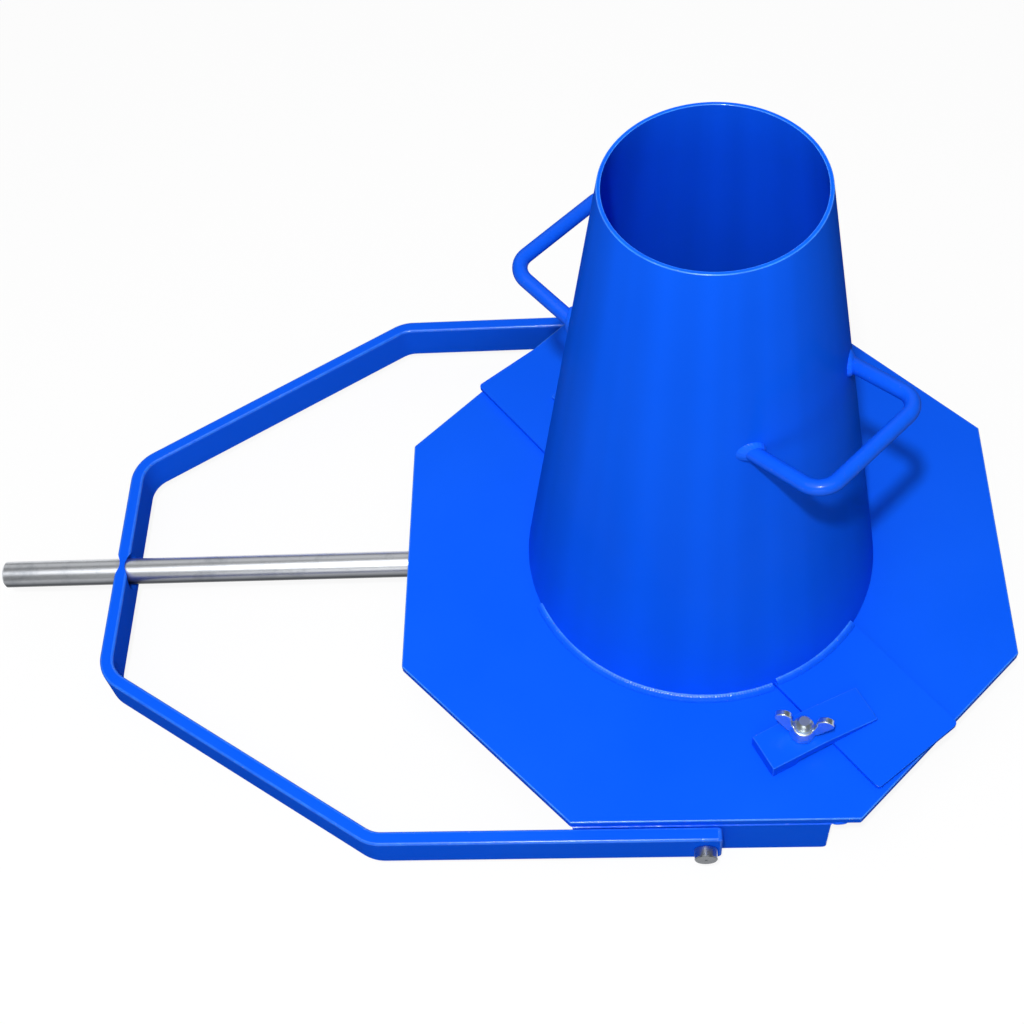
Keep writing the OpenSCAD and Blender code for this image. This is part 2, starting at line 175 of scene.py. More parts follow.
def piece_of(name, bm, material, slot, body, *stands_for):
    """Makes the mesh a piece that rides on its body and stands for its solids."""
    bmesh.ops.remove_doubles(bm, verts=bm.verts, dist=TOUCHING)
    bmesh.ops.recalc_face_normals(bm, faces=bm.faces)
    mesh = bpy.data.meshes.new(name)
    bm.to_mesh(mesh)
    bm.free()
    mesh.materials.append(material)
    piece = bpy.data.objects.new(name, mesh)
    bpy.context.scene.collection.objects.link(piece)
    shade(piece)
    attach(piece, body)
    if stands_for:
        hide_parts(*stands_for)
    return piece


bm = start()
half, short = PLATE_HALF, PLATE_EDGE_HALF
bm.faces.new([bm.verts.new((x, y, 0)) for x, y in (
    (half, short), (short, half), (-short, half), (-half, short),
    (-half, -short), (-short, -half), (short, -half), (half, -short))])
thicken(bm, (0, 0, -PLATE_THICKNESS))
soften(bm, PLATE_BROKEN_EDGE)
for face in bm.faces:
    if face.calc_center_median().z < -PLATE_THICKNESS / 2:
        face[bm.faces.layers.float["wear_and_highlight"]] *= PLATE_LOWER_WEAR
piece_of("octagon_plate", bm, enamel, "blue_paint", "base", "base_plate")


# Support frame
# Four flat bars on edge under the plate: one under the front edge, one under the rear edge and
# two bearers between them, drilled so that the tamping rod slides through.

FRAME_TOP = -0.006
FRAME_FOOT = -0.041
STRIP_LEFT = 0.077
STRIP_RIGHT = 0.0625
STRIP_THICKNESS = 0.005
STRIP_CORNER = 0.0025
STRIP_EDGE = 0.0005
BEARER_X = 0.030
BEARER_THICKNESS = 0.005
ROD_Z = -0.0145
ROD_HOLE_R = 0.0084
DRILL_LENGTH = 0.03
NEAR = 0.001


def block(bm, low, high):
    """A plain block between two corners."""
    low, high = Vector(low), Vector(high)
    size = Matrix.Diagonal((*(high - low), 1.0))
    bmesh.ops.create_cube(bm, size=1.0, matrix=Matrix.Translation((low + high) / 2) @ size)


def drilled(piece, drill):
    """Cuts a turned shape out of a piece for good."""
    mesh = bpy.data.meshes.new("drill")
    bmesh.ops.recalc_face_normals(drill, faces=drill.faces)
    drill.to_mesh(mesh)
    drill.free()
    cutter = bpy.data.objects.new("drill", mesh)
    bpy.context.scene.collection.objects.link(cutter)
    piece.modifiers.clear()
    cut = piece.modifiers.new("drilled", "BOOLEAN")
    cut.object = cutter
    cut.operation = "DIFFERENCE"
    cut.solver = "EXACT"
    bpy.context.view_layer.update()
    finished = piece.evaluated_get(bpy.context.evaluated_depsgraph_get())
    piece_mesh = bpy.data.meshes.new_from_object(finished)
    piece.modifiers.clear()
    piece.data = piece_mesh
    shade(piece)
    bpy.data.objects.remove(cutter)


for end, side in (("front", -1), ("rear", 1)):
    bm = start()
    y = side * (PLATE_HALF - STRIP_THICKNESS / 2)
    block(bm, (-STRIP_LEFT, y - STRIP_THICKNESS / 2, FRAME_FOOT),
          (STRIP_RIGHT, y + STRIP_THICKNESS / 2, FRAME_TOP))
    foot_corners = [e for e in bm.edges if all(v.co.z < FRAME_FOOT + NEAR for v in e.verts)
                    and abs(e.verts[0].co.y - e.verts[1].co.y) > STRIP_THICKNESS / 2]
    soften(bm, STRIP_CORNER, 4, foot_corners)
    soften(bm, STRIP_EDGE)
    piece_of(end + "_edge_strip", bm, enamel, "blue_paint", "base", "frame_strip_" + end)

for end, side in (("left", -1), ("right", 1)):
    bm = start()
    x = side * BEARER_X
    reach = PLATE_HALF - STRIP_THICKNESS
    block(bm, (x - BEARER_THICKNESS / 2, -reach, FRAME_FOOT),
          (x + BEARER_THICKNESS / 2, reach, FRAME_TOP))
    soften(bm, STRIP_EDGE)
    bearer = piece_of(end + "_bearer_bar", bm, enamel, "blue_paint", "base", "bearer_" + end)
    drill = bmesh.new()
    along_rod = Matrix.Translation((x, 0, ROD_Z)) @ Matrix.Rotation(math.pi / 2, 4, "Y")
    bmesh.ops.create_cone(drill, cap_ends=True, segments=64, radius1=ROD_HOLE_R,
                          radius2=ROD_HOLE_R, depth=DRILL_LENGTH, matrix=along_rod)
    drilled(bearer, drill)


# Frame welds
# Fillet runs laid with a stick electrode along the bearers and strips. Each drop of metal froze
# as a low ripple, and the enamel has filled the hollows between them.

FILLET = 0.003
FILLET_SECTION = [(0, 0), (1, 0), (0.68, 0.14), (0.42, 0.42), (0.14, 0.68), (0, 1)]
RIPPLE_PITCH = 0.0017
FILLET_RIPPLE = 0.00022
ROD_CLEARANCE = 0.011
STRIP_CLEARANCE = 0.001
DROP_LEVEL = 0.8
ROUGH_SCALE = 330
ROUGH_SHARE = 0.9

ORIGIN = (0, 0, 0)
UP = (0, 0, 1)


def ripple(bm, along, depth, seed):
    """Pushes a smooth bead in and out, drop by drop, with a little unevenness."""
    bm.normal_update()
    moves = {}
    for v in bm.verts:
        drop = abs(math.sin(math.pi * along(v.co) / RIPPLE_PITCH))
        rough = noise.noise(v.co * ROUGH_SCALE + Vector((seed, 0, 0)))
        moves[v] = v.normal * depth * (drop - DROP_LEVEL + ROUGH_SHARE * rough)
    for v, move in moves.items():
        v.co += move


def swept(bm, end_faces, run, steps):
    """Sweeps a section straight along, in steps that are short enough for the ripples."""
    bmesh.ops.spin(bm, geom=end_faces, cent=ORIGIN, axis=UP, angle=0, dvec=run / steps,
                   steps=steps, use_duplicate=False)


def straight_fillet(bm, start_point, end_point, arm_a, arm_b):
    """A filled corner between two legs, swept straight from one point to another."""
    start_point, a, b = Vector(start_point), Vector(arm_a), Vector(arm_b)
    run = Vector(end_point) - start_point
    end_face = bm.faces.new([bm.verts.new(start_point + (a * i + b * j) * FILLET)
                             for i, j in FILLET_SECTION])
    swept(bm, [end_face], run, max(4, round(run.length / (RIPPLE_PITCH / 4))))


bm = start()
inner = PLATE_HALF - STRIP_THICKNESS
side_x = BEARER_X + BEARER_THICKNESS / 2
down = (0, 0, -1)
for side in (-1, 1):
    for first, last in ((-(inner - FILLET), -ROD_CLEARANCE), (ROD_CLEARANCE, inner - FILLET)):
        straight_fillet(bm, (side * side_x, first, FRAME_TOP), (side * side_x, last, FRAME_TOP),
                        (side, 0, 0), down)
    y = side * inner
    for first, last in ((STRIP_CLEARANCE - STRIP_LEFT, -side_x),
                        (side_x, STRIP_RIGHT - STRIP_CLEARANCE)):
        straight_fillet(bm, (first, y, FRAME_TOP), (last, y, FRAME_TOP), (0, -side, 0), down)
bmesh.ops.remove_doubles(bm, verts=bm.verts, dist=TOUCHING)
bmesh.ops.recalc_face_normals(bm, faces=bm.faces)
ripple(bm, lambda p: p.x + p.y, FILLET_RIPPLE, 1.0)
piece_of("frame_fillet_welds", bm, enamel, "blue_paint", "base", "frame_welds")


# Edge joint welds
# Thin beads that close the joint between each strip and the edge of the plate above it. Each one
# ends in a small blob on the plate's edge, just past the right end of the strip.

JOINT_BEAD_R = 0.0007
JOINT_BEAD_DROP = 0.0002
JOINT_BEAD_STEPS = 170
JOINT_BEAD_WEAR = 0.12
THIN_RIPPLE = 0.00012
BLOB_HALF_SIZES = (0.0045, 0.0013, 0.0012)
BLOB_PAST_STRIP = 0.004
BLOB_SUNK = 0.0005

for end, side in (("front", -1), ("rear", 1)):
    bm = start()
    bead_start = Matrix.Translation((-STRIP_LEFT, side * PLATE_HALF, FRAME_TOP - JOINT_BEAD_DROP))
    bmesh.ops.create_circle(bm, segments=8, radius=JOINT_BEAD_R, cap_ends=True,
                            matrix=bead_start @ Matrix.Rotation(math.pi / 2, 4, "Y"))
    swept(bm, bm.faces[:], Vector((STRIP_LEFT + STRIP_RIGHT, 0, 0)), JOINT_BEAD_STEPS)
    blob_middle = Matrix.Translation((STRIP_RIGHT + BLOB_PAST_STRIP,
                                      side * (PLATE_HALF - BLOB_SUNK), FRAME_TOP))
    bmesh.ops.create_uvsphere(bm, u_segments=20, v_segments=12, radius=1.0,
                              matrix=blob_middle @ Matrix.Diagonal((*BLOB_HALF_SIZES, 1.0)))
    bmesh.ops.recalc_face_normals(bm, faces=bm.faces)
    ripple(bm, lambda p: p.x, THIN_RIPPLE, 3.0 + side)
    wear_off(bm, JOINT_BEAD_WEAR)
    piece_of(end + "_edge_bead", bm, enamel, "blue_paint", "base")


# Pivot pins
# Turned mild steel pins, left bare. Each passes through one arm of the bail and one strip, with
# a plain round head outside and its inner end riveted over.

PIVOT_X = -0.005
PIVOT_Z = -0.018
PIN_R = 0.005
PIN_HEAD_R = 0.0063
PIN_TAIL_R = 0.007
PIN_INNER_Y = 0.1675
PIN_TAIL_Y = 0.170
PIN_HEAD_Y = 0.1843
PIN_OUTER_Y = 0.1903
PIN_OUTLINE = [(0, PIN_INNER_Y), (PIN_TAIL_R - 0.0012, PIN_INNER_Y),
               (PIN_TAIL_R, PIN_INNER_Y + 0.0010), (PIN_TAIL_R, PIN_TAIL_Y),
               (PIN_R, PIN_TAIL_Y), (PIN_R, PIN_HEAD_Y), (PIN_HEAD_R - 0.0003, PIN_HEAD_Y),
               (PIN_HEAD_R, PIN_HEAD_Y + 0.0003), (PIN_HEAD_R, PIN_OUTER_Y - 0.0005),
               (PIN_HEAD_R - 0.0005, PIN_OUTER_Y), (0.0009, PIN_OUTER_Y - 0.00005),
               (0, PIN_OUTER_Y - 0.0008)]
RING_PITCH = 0.00035
FACE_START = PIN_OUTER_Y - 0.0007
FACE_END = PIN_OUTER_Y - 0.0003

# Turned steel: light grey metal with the fine rings that the lathe tool leaves, 0.35 mm apart,
# duller patches from handling, and painted shade on the outer end face, which is darker.
turned = new_material("turned_mild_steel")
place = add(turned, "ShaderNodeTexCoord")
centre = add(turned, "ShaderNodeVectorMath", {1: (-PIVOT_X, 0, -PIVOT_Z)},
             {0: (place, "Object")}, operation="ADD")
across = add(turned, "ShaderNodeVectorMath", {1: (1, 0, 1)}, {0: (centre, 0)},
             operation="MULTIPLY")
from_axis = add(turned, "ShaderNodeVectorMath", None, {0: (across, 0)}, operation="LENGTH")
turns = add(turned, "ShaderNodeMath", {1: 2 * math.pi / RING_PITCH}, {0: (from_axis, "Value")},
            operation="MULTIPLY")
rings = add(turned, "ShaderNodeMath", None, {0: (turns, 0)}, operation="SINE")
patches = add(turned, "ShaderNodeTexNoise", {"Scale": 260.0, "Detail": 4.0},
              {"Vector": (place, "Object")})
grey = add(turned, "ShaderNodeMix", {6: linear("#ABB0B7"), 7: linear("#C6CBD2")},
           {0: (patches, "Fac")}, data_type="RGBA")
along = add(turned, "ShaderNodeSeparateXYZ", None, {0: (place, "Object")})
reach = add(turned, "ShaderNodeMath", None, {0: (along, "Y")}, operation="ABSOLUTE")
# Painted shade: the outer end face of the pin is darker.
painted_shade_end = add(turned, "ShaderNodeMapRange", {"From Min": FACE_START, "From Max": FACE_END},
            {"Value": (reach, 0)})
steel = add(turned, "ShaderNodeMix", {7: linear("#6C7076")}, {0: (painted_shade_end, 0), 6: (grey, 2)},
            data_type="RGBA")
dull = add(turned, "ShaderNodeMapRange", {"To Min": 0.22, "To Max": 0.34},
           {"Value": (patches, "Fac")})
grooves = add(turned, "ShaderNodeBump", {"Strength": 0.4, "Distance": 0.00001},
              {"Height": (rings, 0)})
wire(turned, turned.node_tree.nodes["Principled BSDF"], {"Metallic": 1.0},
     {"Base Color": (steel, 2), "Roughness": (dull, 0), "Normal": (grooves, "Normal")})


def turn(bm, outline, axis_point, axis, steps=64):
    """Turns an open outline of points into a closed round shape about an axis."""
    verts = [bm.verts.new(p) for p in outline]
    edges = [bm.edges.new(pair) for pair in zip(verts, verts[1:])]
    bmesh.ops.spin(bm, geom=verts + edges, cent=axis_point, axis=axis, angle=2 * math.pi,
                   steps=steps, use_merge=True, use_duplicate=False)
    bmesh.ops.remove_doubles(bm, verts=bm.verts, dist=TOUCHING)


for end, side in (("front", -1), ("rear", 1)):
    bm = start()
    turn(bm, [(PIVOT_X + r, side * y, PIVOT_Z) for r, y in PIN_OUTLINE],
         (PIVOT_X, 0, PIVOT_Z), (0, 1, 0))
    piece_of(end + "_hinge_pin", bm, turned, "pin_steel", "base", "pivot_pin_" + end)


# Bail
# One length of 25 x 8 mm flat bar, bent on edge four times into a bow around the left of the
# plate and hung on the two pins. Its cross bar is drilled and countersunk for the tamping rod.

BAR_THICKNESS = 0.008
BAR_TOP = -0.0055
BAR_FOOT = -0.0305
BAR_EDGE = 0.0014
BAR_END_CORNER = 0.0025
BAR_WEAR = 0.5
ARM_OUT = 0.184
ARM_END_X = 0.004
ARM_BEND_X = -0.189
NOSE_X = -0.35764
NOSE_HALF = 0.07648
ARM_BEND_R = 0.024
NOSE_BEND_R = 0.0248
COUNTERSINK = 0.003
DRILL_PAST = 0.001
MOUTH_R = ROD_HOLE_R + COUNTERSINK + DRILL_PAST
DRILL_OUTLINE = [(0, -DRILL_PAST), (MOUTH_R, -DRILL_PAST), (ROD_HOLE_R, COUNTERSINK),
                 (ROD_HOLE_R, BAR_THICKNESS - COUNTERSINK), (MOUTH_R, BAR_THICKNESS + DRILL_PAST),
                 (0, BAR_THICKNESS + DRILL_PAST)]


def drawn_out(bm, ring, vec):
    """Draws a bar out straight from its end ring."""
    grown = bmesh.ops.extrude_edge_only(bm, edges=ring)["geom"]
    bmesh.ops.translate(bm, verts=[g for g in grown if isinstance(g, bmesh.types.BMVert)], vec=vec)
    return [g for g in grown if isinstance(g, bmesh.types.BMEdge)
            and all(v in grown for v in g.verts)]


def curled(bm, ring, centre, angle, steps=12):
    """Bends a bar on from its end ring, about an upright axis."""
    verts = list({v for e in ring for v in e.verts})
    last = bmesh.ops.spin(bm, geom=verts + list(ring), cent=centre, axis=UP, angle=angle,
                          steps=steps, use_duplicate=False)["geom_last"]
    return [g for g in last if isinstance(g, bmesh.types.BMEdge)]


turn_angle = math.atan2(ARM_OUT - NOSE_HALF, ARM_BEND_X - NOSE_X)
arm_tangent = ARM_BEND_R * math.tan(turn_angle / 2)
nose_tangent = NOSE_BEND_R * math.tan((math.pi / 2 - turn_angle) / 2)
slant = math.hypot(ARM_BEND_X - NOSE_X, ARM_OUT - NOSE_HALF) - arm_tangent - nose_tangent

bm = start()
arm_end = Matrix.Translation((ARM_END_X, BAR_THICKNESS / 2 - ARM_OUT, (BAR_TOP + BAR_FOOT) / 2))
bar_section = Matrix.Diagonal((BAR_TOP - BAR_FOOT, BAR_THICKNESS, 1.0, 1.0))
corners = bmesh.ops.create_grid(
    bm, x_segments=1, y_segments=1, size=0.5,
    matrix=arm_end @ Matrix.Rotation(math.pi / 2, 4, "Y") @ bar_section)["verts"]
bmesh.ops.delete(bm, geom=bm.faces[:], context="FACES_ONLY")
ring = list({e for v in corners for e in v.link_edges})
ring = drawn_out(bm, ring, (ARM_BEND_X + arm_tangent - ARM_END_X, 0, 0))
ring = curled(bm, ring, (ARM_BEND_X + arm_tangent, -ARM_OUT + ARM_BEND_R, 0), -turn_angle)
ring = drawn_out(bm, ring, (-slant * math.cos(turn_angle), slant * math.sin(turn_angle), 0))
ring = curled(bm, ring, (NOSE_X + NOSE_BEND_R, -NOSE_HALF + nose_tangent, 0),
              turn_angle - math.pi / 2, 20)
drawn_out(bm, ring, (0, NOSE_HALF - nose_tangent, 0))
bmesh.ops.mirror(bm, geom=bm.verts[:] + bm.edges[:] + bm.faces[:], axis="Y", merge_dist=TOUCHING)
bmesh.ops.remove_doubles(bm, verts=bm.verts, dist=TOUCHING)
bmesh.ops.holes_fill(bm, edges=[e for e in bm.edges if e.is_boundary], sides=4)
bmesh.ops.recalc_face_normals(bm, faces=bm.faces)
end_corners = [e for e in bm.edges if all(v.co.x > ARM_END_X - NEAR for v in e.verts)
               and abs(e.verts[0].co.y - e.verts[1].co.y) > BAR_THICKNESS / 2]
soften(bm, BAR_END_CORNER, 5, end_corners, BAR_WEAR)
soften(bm, BAR_EDGE, 4, None, BAR_WEAR)
bail = piece_of("bent_bail", bm, enamel, "blue_paint", "bail", "bail_bar")
drill = bmesh.new()
turn(drill, [(NOSE_X + x, 0, ROD_Z + r) for r, x in DRILL_OUTLINE], (0, 0, ROD_Z), (1, 0, 0), 96)
drilled(bail, drill)


# Tamping rod
# A 600 mm length of 16 mm bright drawn steel bar, bare, with one end faced flat and the other
# rounded to a half ball for tamping the concrete.

ROD_R = 0.008
ROD_LEFT = -0.430
ROD_RIGHT = 0.170
ROD_CHAMFER = 0.001
BALL_STEPS = 10
UNDERSIDE_RISE = 0.0066

# Bright drawn steel: a light grey metal with hair-fine lines along the bar from the die, faint
# stains from hands and cement, and painted shade on the underside, which is darker.
drawn = new_material("bright_drawn_steel")
place = add(drawn, "ShaderNodeTexCoord")
lengthwise = add(drawn, "ShaderNodeMapping", {"Scale": (12.0, 900.0, 900.0)},
                 {"Vector": (place, "Object")})
die_lines = add(drawn, "ShaderNodeTexNoise", {"Scale": 1.0, "Detail": 2.0},
                {"Vector": (lengthwise, 0)})
stains = add(drawn, "ShaderNodeTexNoise", {"Scale": 70.0, "Detail": 5.0, "Roughness": 0.65},
             {"Vector": (place, "Object")})
stained = add(drawn, "ShaderNodeMapRange", {"From Min": 0.50, "From Max": 0.80},
              {"Value": (stains, "Fac")})
clean = add(drawn, "ShaderNodeMix", {6: linear("#E6E9EE"), 7: linear("#BCC1C9")},
            {0: (stained, 0)}, data_type="RGBA")
# Painted shade: the bar is dark below its axis and fades to its clean grey a little above it.
height = add(drawn, "ShaderNodeSeparateXYZ", None, {0: (place, "Object")})
above_painted_shade = add(drawn, "ShaderNodeMapRange",
            {"From Min": ROD_Z, "From Max": ROD_Z + UNDERSIDE_RISE}, {"Value": (height, "Z")})
grey = add(drawn, "ShaderNodeMix", {6: linear("#33373D")}, {0: (above_painted_shade, 0), 7: (clean, 2)},
           data_type="RGBA")
dull = add(drawn, "ShaderNodeMapRange", {"To Min": 0.28, "To Max": 0.38},
           {"Value": (stains, "Fac")})
lines = add(drawn, "ShaderNodeBump", {"Strength": 0.35, "Distance": 0.00001},
            {"Height": (die_lines, "Fac")})
wire(drawn, drawn.node_tree.nodes["Principled BSDF"], {"Metallic": 1.0},
     {"Base Color": (grey, 2), "Roughness": (dull, 0), "Normal": (lines, "Normal")})

bm = start()
ball_x = ROD_RIGHT - ROD_R
outline = [(0, ROD_LEFT), (ROD_R - ROD_CHAMFER, ROD_LEFT), (ROD_R, ROD_LEFT + ROD_CHAMFER),
           (ROD_R, ball_x)]
outline += [(ROD_R * math.cos(a), ball_x + ROD_R * math.sin(a))
            for a in [math.pi / 2 * i / BALL_STEPS for i in range(1, BALL_STEPS + 1)]]
turn(bm, [(x, 0, ROD_Z + r) for r, x in outline], (0, 0, ROD_Z), (1, 0, 0), 72)
piece_of("drawn_steel_rod", bm, drawn, "bright_rod", "rod", "tamping_rod")


# Mould
# A cone rolled from 2 mm sheet, open at both ends, with its rim ground flat. The rolling leaves
# faint upright flats, whose light and shade is painted into the enamel as slow bands.

MOULD_FOOT_R = 0.102
MOULD_TOP_R = 0.052
MOULD_WALL = 0.002
MOULD_FOOT_Z = 0.0003
MOULD_TOP_Z = 0.3003
MOULD_EDGE = 0.0004
SLOPE = (MOULD_FOOT_R - MOULD_TOP_R) / (MOULD_TOP_Z - MOULD_FOOT_Z)
WALL_LEVELS = 6


def same_enamel(name):
    """A copy of the enamel, with its shader and the node that gives its blue."""
    copied = enamel.copy()
    copied.name = name
    shader = copied.node_tree.nodes["Principled BSDF"]
    return copied, shader, shader.inputs["Base Color"].links[0].from_node


# The same enamel over the rolled sheet, with painted light and shade: slow lighter and darker
# bands up the cone are painted into its blue, where the faint upright flats would catch the light.
banded, banded_shader, blue = same_enamel("blue_gloss_enamel_with_painted_bands")
place = add(banded, "ShaderNodeTexCoord")
level = add(banded, "ShaderNodeVectorMath", {1: (1, 1, 0)}, {0: (place, "Object")},
            operation="MULTIPLY")
facing = add(banded, "ShaderNodeVectorMath", None, {0: (level, 0)}, operation="NORMALIZE")
light_and_shade_bands = add(banded, "ShaderNodeTexNoise", {"Scale": 3.0, "Detail": 1.5}, {"Vector": (facing, 0)})
strength = add(banded, "ShaderNodeMapRange",
               {"From Min": 0.36, "From Max": 0.64, "To Min": 0.95, "To Max": 1.05},
               {"Value": (light_and_shade_bands, "Fac")})
# Painted light and shade: the blue is made lighter and darker in slow bands round the cone.
blue_with_painted_bands = add(banded, "ShaderNodeHueSaturation", None,
               {"Value": (strength, 0), "Color": (blue, 2)})
wire(banded, banded_shader, None, {"Base Color": (blue_with_painted_bands, "Color")})

bm = start()
outside = [(MOULD_FOOT_R + (MOULD_TOP_R - MOULD_FOOT_R) * t,
            MOULD_FOOT_Z + (MOULD_TOP_Z - MOULD_FOOT_Z) * t)
           for t in [i / WALL_LEVELS for i in range(WALL_LEVELS + 1)]]
inside = [(r - MOULD_WALL, z) for r, z in reversed(outside)]
turn(bm, [(r, 0, z) for r, z in outside + inside + outside[:1]], ORIGIN, UP, 128)
bmesh.ops.recalc_face_normals(bm, faces=bm.faces)
soften(bm, MOULD_EDGE)
piece_of("rolled_mould_shell", bm, banded, "blue_paint", "mould", "mould_shell")


# Mould seam
# The butt weld of the rolled sheet, ground down until only a low ridge is left, at the rear. It
# fades out a little below the rim, where the grinding went right down to the sheet.

SEAM_ANGLE = math.radians(80)
SEAM_HALF = 0.002
SEAM_RISE = 0.0006
SEAM_SHOULDER = 0.00025
SEAM_SUNK = 0.0005
SEAM_FADE = 0.0004
SEAM_FOOT = 0.0068
SEAM_TOP = 0.012
SEAM_STEPS = 240
SEAM_SECTION = [(-SEAM_SUNK, -SEAM_HALF), (SEAM_SHOULDER, -SEAM_HALF * 0.7),
                (SEAM_RISE, -SEAM_HALF * 0.3), (SEAM_RISE, SEAM_HALF * 0.3),
                (SEAM_SHOULDER, SEAM_HALF * 0.7), (-SEAM_SUNK, SEAM_HALF)]
SEAM_BOW = 18

bm = start()
foot = Vector((MOULD_FOOT_R - SLOPE * SEAM_FOOT, 0, MOULD_FOOT_Z + SEAM_FOOT))
top = Vector((MOULD_TOP_R + SLOPE * SEAM_TOP - SEAM_FADE, 0, MOULD_TOP_Z - SEAM_TOP))
seam_end = bm.faces.new([bm.verts.new(foot + Vector((out, width, 0)))
                         for out, width in SEAM_SECTION])
swept(bm, [seam_end], top - foot, SEAM_STEPS)
bmesh.ops.recalc_face_normals(bm, faces=bm.faces)
ripple(bm, lambda p: p.z + SEAM_BOW * p.y * p.y, THIN_RIPPLE, 5.0)
bmesh.ops.rotate(bm, verts=bm.verts, cent=ORIGIN, matrix=Matrix.Rotation(SEAM_ANGLE, 3, "Z"))
piece_of("ground_seam_weld", bm, enamel, "blue_paint", "mould", "mould_seam_weld")


# Foot plates
# Two pieces of 3 mm plate, each cut to the curve of the mould at one end, with its two outer
# corners rounded. They are what the tester stands on, or what the clamps hold down.

FOOT_HALF = 0.030
FOOT_REACH = 0.1795
FOOT_TOP_Z = 0.0033
FOOT_CORNER = 0.0025
FOOT_EDGE = 0.0004
FOOT_WEAR = 0.4
FOOT_ANGLE = math.radians(-51.5)
FOOT_CURVE_STEPS = 16
FOOT_FIT = 0.0001

for end, half_turn in (("front", 0), ("rear", math.pi)):
    bm = start()
    curve = math.asin(FOOT_HALF / (MOULD_FOOT_R + FOOT_FIT))
    inner_end = [(MOULD_FOOT_R * math.cos(a), MOULD_FOOT_R * math.sin(a)) for a in
                 [curve - 2 * curve * i / FOOT_CURVE_STEPS for i in range(FOOT_CURVE_STEPS + 1)]]
    outer_end = [(FOOT_REACH, -FOOT_HALF), (FOOT_REACH, FOOT_HALF)]
    bm.faces.new([bm.verts.new((x, y, MOULD_FOOT_Z)) for x, y in inner_end + outer_end])
    thicken(bm, (0, 0, FOOT_TOP_Z - MOULD_FOOT_Z))
    bmesh.ops.recalc_face_normals(bm, faces=bm.faces)
    outer_corners = [e for e in bm.edges if abs(e.verts[0].co.z - e.verts[1].co.z) > NEAR
                     and e.verts[0].co.x > FOOT_REACH - NEAR]
    soften(bm, FOOT_CORNER, 6, outer_corners, 0.0)
    # The two long sides, which start at the wall, stay sharp
    side_start = MOULD_FOOT_R * math.cos(curve) + NEAR / 2
    end_edges = [e for e in bm.edges if min(v.co.x for v in e.verts) > side_start
                 and abs(e.verts[0].co.z - e.verts[1].co.z) < NEAR]
    soften(bm, FOOT_EDGE, 3, end_edges, FOOT_WEAR)
    bmesh.ops.rotate(bm, verts=bm.verts, cent=ORIGIN,
                     matrix=Matrix.Rotation(FOOT_ANGLE + half_turn, 3, "Z"))
    piece_of(end + "_foot", bm, enamel, "blue_paint", "mould", "foot_plate_" + end)


# Foot welds
# A fillet bead runs around the mould's foot beside each foot plate, and a second one joins the
# foot plate itself to the wall. Both were laid by hand, so their width wanders.

BEAD = 0.0034
BEAD_START = math.radians(-157)
BEAD_SECTION = [(0.92, 0), (0.86, 0.22), (0.66, 0.48), (0.40, 0.68), (0.12, 0.84)]
BEAD_TOP = 0.90
BEAD_FOOT_SUNK = 0.0008
BEAD_TOP_SUNK = 0.0012
BEAD_MIDDLE_R = MOULD_FOOT_R + 0.0015
BEAD_BOW = 90
UPPER_BEAD_Z = MOULD_FOOT_Z + BEAD * 0.96
# The crest of each bead, where the lamp's glint falls, and its shoulder get a heavier top coat and
# a paler painted highlight line.
CREST_RISE, CREST_HIGHLIGHT = 0.80, 0.9
SHOULDER_RISE, SHOULDER_HIGHLIGHT = 0.70, 0.3
BEAD_WEAR = 0.05


def along_bead(p):
    """How far round the foot a point lies, with the drops bowed a little across the bead."""
    bow = BEAD_BOW * (math.hypot(p.x, p.y) - BEAD_MIDDLE_R) ** 2
    return math.atan2(p.y, p.x) * MOULD_FOOT_R + bow


for end, half_turn in (("front", 0), ("rear", math.pi)):
    bm = start()
    foot_side = math.asin(FOOT_HALF / (MOULD_FOOT_R - BEAD))
    foot_arc = math.asin(FOOT_HALF / (MOULD_FOOT_R + BEAD))
    for first, last, level in ((BEAD_START, FOOT_ANGLE - foot_side, MOULD_FOOT_Z),
                               (FOOT_ANGLE - foot_arc, FOOT_ANGLE + foot_arc, FOOT_TOP_Z)):
        wall = MOULD_FOOT_R - SLOPE * (level - MOULD_FOOT_Z)
        section = [(wall - BEAD_FOOT_SUNK, level),
                   *((wall + BEAD * out, level + BEAD * rise) for out, rise in BEAD_SECTION),
                   (wall - BEAD_TOP_SUNK, level + BEAD * BEAD_TOP)]
        bead_end = bm.faces.new([bm.verts.new((r, 0, z)) for r, z in section])
        bmesh.ops.rotate(bm, verts=bead_end.verts, cent=ORIGIN,
                         matrix=Matrix.Rotation(first, 3, "Z"))
        steps = round((last - first) * MOULD_FOOT_R / (RIPPLE_PITCH / 5))
        bmesh.ops.spin(bm, geom=[bead_end], cent=ORIGIN, axis=UP, angle=last - first,
                       steps=steps, use_duplicate=False)
    bmesh.ops.recalc_face_normals(bm, faces=bm.faces)
    ripple(bm, along_bead, THIN_RIPPLE, 7.0 + half_turn)
    bmesh.ops.rotate(bm, verts=bm.verts, cent=ORIGIN, matrix=Matrix.Rotation(half_turn, 3, "Z"))
    for v in bm.verts:
        v.co.z = max(v.co.z, MOULD_FOOT_Z)
    # Painted highlight: crest and shoulder faces are marked for a paler line and more top coat.
    layer = bm.faces.layers.float["wear_and_highlight"]
    for face in bm.faces:
        z = face.calc_center_median().z
        seat_z = FOOT_TOP_Z if z > UPPER_BEAD_Z else MOULD_FOOT_Z
        rise = (z - seat_z) / BEAD
        face[layer] = (CREST_HIGHLIGHT if rise > CREST_RISE else
                       SHOULDER_HIGHLIGHT if rise > SHOULDER_RISE else BEAD_WEAR)
    piece_of(end + "_foot_beads", bm, enamel, "blue_paint", "mould", "foot_weld_" + end)


